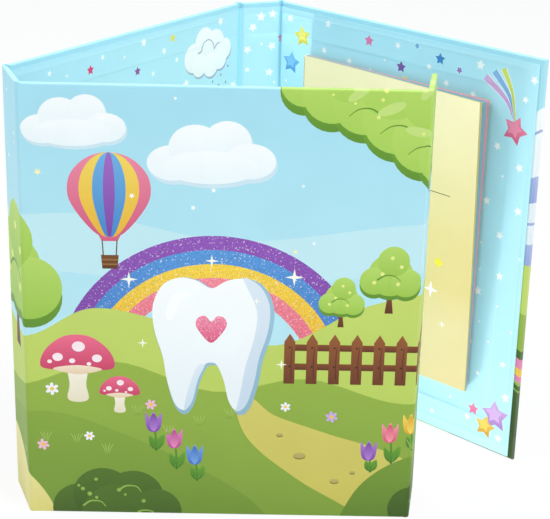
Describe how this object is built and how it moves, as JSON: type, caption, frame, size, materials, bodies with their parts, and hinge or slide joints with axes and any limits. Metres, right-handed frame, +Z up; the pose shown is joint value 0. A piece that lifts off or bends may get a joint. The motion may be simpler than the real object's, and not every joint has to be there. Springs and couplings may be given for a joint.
{
  "type": "baby tooth keepsake booklet",
  "caption": "Hardcover folding keepsake booklet with paper-hinged panels, a magnetic closing flap, a coloured notepad and a divided milk-tooth tray under a sliding lid.",
  "frame": {"origin": "middle of the back cover's lower edge, on the surface that the booklet stands on", "axes": "+X along the back cover towards the fore edge, -Y into the booklet, +Z up"},
  "size_m": [0.1785, 0.1539, 0.175],
  "materials": {
    "case_paper": "printed, satin",
    "liner_paper": "printed, satin",
    "greyboard": "matte",
    "magnet_steel": "plated",
    "pad_card": "matte",
    "binding_gum": "satin",
    "yellow_leaf": "matte",
    "blue_leaf": "matte",
    "pink_leaf": "matte",
    "green_leaf": "matte",
    "tray_plastic": "satin",
    "lid_plastic": "clear"
  },
  "bodies": {
    "back_cover": {"back_cover_board": "greyboard", "back_cover_paper": "case_paper", "back_cover_liner": "liner_paper", "tray_floor": "tray_plastic", "tray_left_rail": "tray_plastic", "tray_right_rail": "tray_plastic", "tray_bottom_wall": "tray_plastic", "tray_top_wall": "tray_plastic", "tray_row_divider_1": "tray_plastic", "tray_row_divider_2": "tray_plastic", "tray_row_divider_3": "tray_plastic", "tray_column_divider_1": "tray_plastic", "tray_column_divider_2": "tray_plastic", "tray_column_divider_3": "tray_plastic", "tray_column_divider_4": "tray_plastic", "fore_edge_hinge": "case_paper"},
    "spine": {"spine_board": "greyboard", "spine_paper": "case_paper", "spine_liner": "liner_paper", "spine_hinge": "case_paper"},
    "front_cover": {"front_cover_board": "greyboard", "front_cover_paper": "case_paper", "front_cover_liner": "liner_paper", "front_hinge": "case_paper"},
    "flap": {"flap_board": "greyboard", "flap_paper": "case_paper", "flap_liner": "liner_paper", "flap_lower_magnet": "magnet_steel", "flap_upper_magnet": "magnet_steel", "flap_hinge": "case_paper"},
    "fore_edge": {"fore_edge_board": "greyboard", "fore_edge_paper": "case_paper", "fore_edge_liner": "liner_paper", "fore_edge_lower_magnet": "magnet_steel", "fore_edge_upper_magnet": "magnet_steel", "pad_panel_hinge": "case_paper"},
    "pad_panel": {"pad_panel_board": "greyboard", "pad_panel_paper": "case_paper", "pad_panel_liner": "liner_paper", "pad_card": "pad_card", "pad_binding": "binding_gum", "green_leaves": "green_leaf"},
    "pink_leaves": {"pink_leaves": "pink_leaf"},
    "blue_leaves": {"blue_leaves": "blue_leaf"},
    "yellow_leaves": {"yellow_leaves": "yellow_leaf"},
    "top_leaf": {"top_leaf": "yellow_leaf"},
    "tray_lid": {"tray_lid": "lid_plastic"}
  },
  "joints": [
    {"name": "spine_fold", "type": "hinge", "parent": "back_cover", "child": "spine", "pos_m": [-0.0735, 0.00113, 0], "axis": [0, 0, 1], "range_deg": [-54.76, 30], "deforming": ["spine_hinge"]},
    {"name": "front_fold", "type": "hinge", "parent": "spine", "child": "front_cover", "pos_m": [-0.08834, -0.01988, 0], "axis": [0, 0, 1], "range_deg": [-70.84, 19.16], "deforming": ["front_hinge"]},
    {"name": "flap_fold", "type": "hinge", "parent": "front_cover", "child": "flap", "pos_m": [-0.00091, -0.142, 0], "axis": [0, 0, 1], "range_deg": [-81.5, 8.5], "deforming": ["flap_hinge"]},
    {"name": "fore_edge_fold", "type": "hinge", "parent": "back_cover", "child": "fore_edge", "pos_m": [0.0735, 0.00113, 0], "axis": [0, 0, 1], "range_deg": [-18, 34.56], "deforming": ["fore_edge_hinge"]},
    {"name": "pad_panel_fold", "type": "hinge", "parent": "fore_edge", "child": "pad_panel", "pos_m": [0.09122, -0.01108, 0], "axis": [0, 0, 1], "range_deg": [-19, 63.94], "deforming": ["pad_panel_hinge"]},
    {"name": "page_fan", "type": "hinge", "parent": "pad_panel", "child": "yellow_leaves", "pos_m": [0.08222, -0.03086, 0], "axis": [0, 0, -1], "range_deg": [0, 24]},
    {"name": "blue_page_fan", "type": "hinge", "parent": "pad_panel", "child": "blue_leaves", "pos_m": [0.08313, -0.031, 0], "axis": [0, 0, -1], "range_deg": [0, 16]},
    {"name": "pink_page_fan", "type": "hinge", "parent": "pad_panel", "child": "pink_leaves", "pos_m": [0.08404, -0.03114, 0], "axis": [0, 0, -1], "range_deg": [0, 8]},
    {"name": "page_turn", "type": "hinge", "parent": "yellow_leaves", "child": "top_leaf", "pos_m": [0.08131, -0.03073, 0], "axis": [0, 0, -1], "range_deg": [0, 75]},
    {"name": "lid_slide", "type": "slide", "parent": "back_cover", "child": "tray_lid", "axis": [0, 0, 1], "range_m": [0, 0.078]}
  ],
  "couplings": [
    {"joint": "blue_page_fan", "follows": "page_fan", "ratio": 0.66667},
    {"joint": "pink_page_fan", "follows": "page_fan", "ratio": 0.33333}
  ]
}
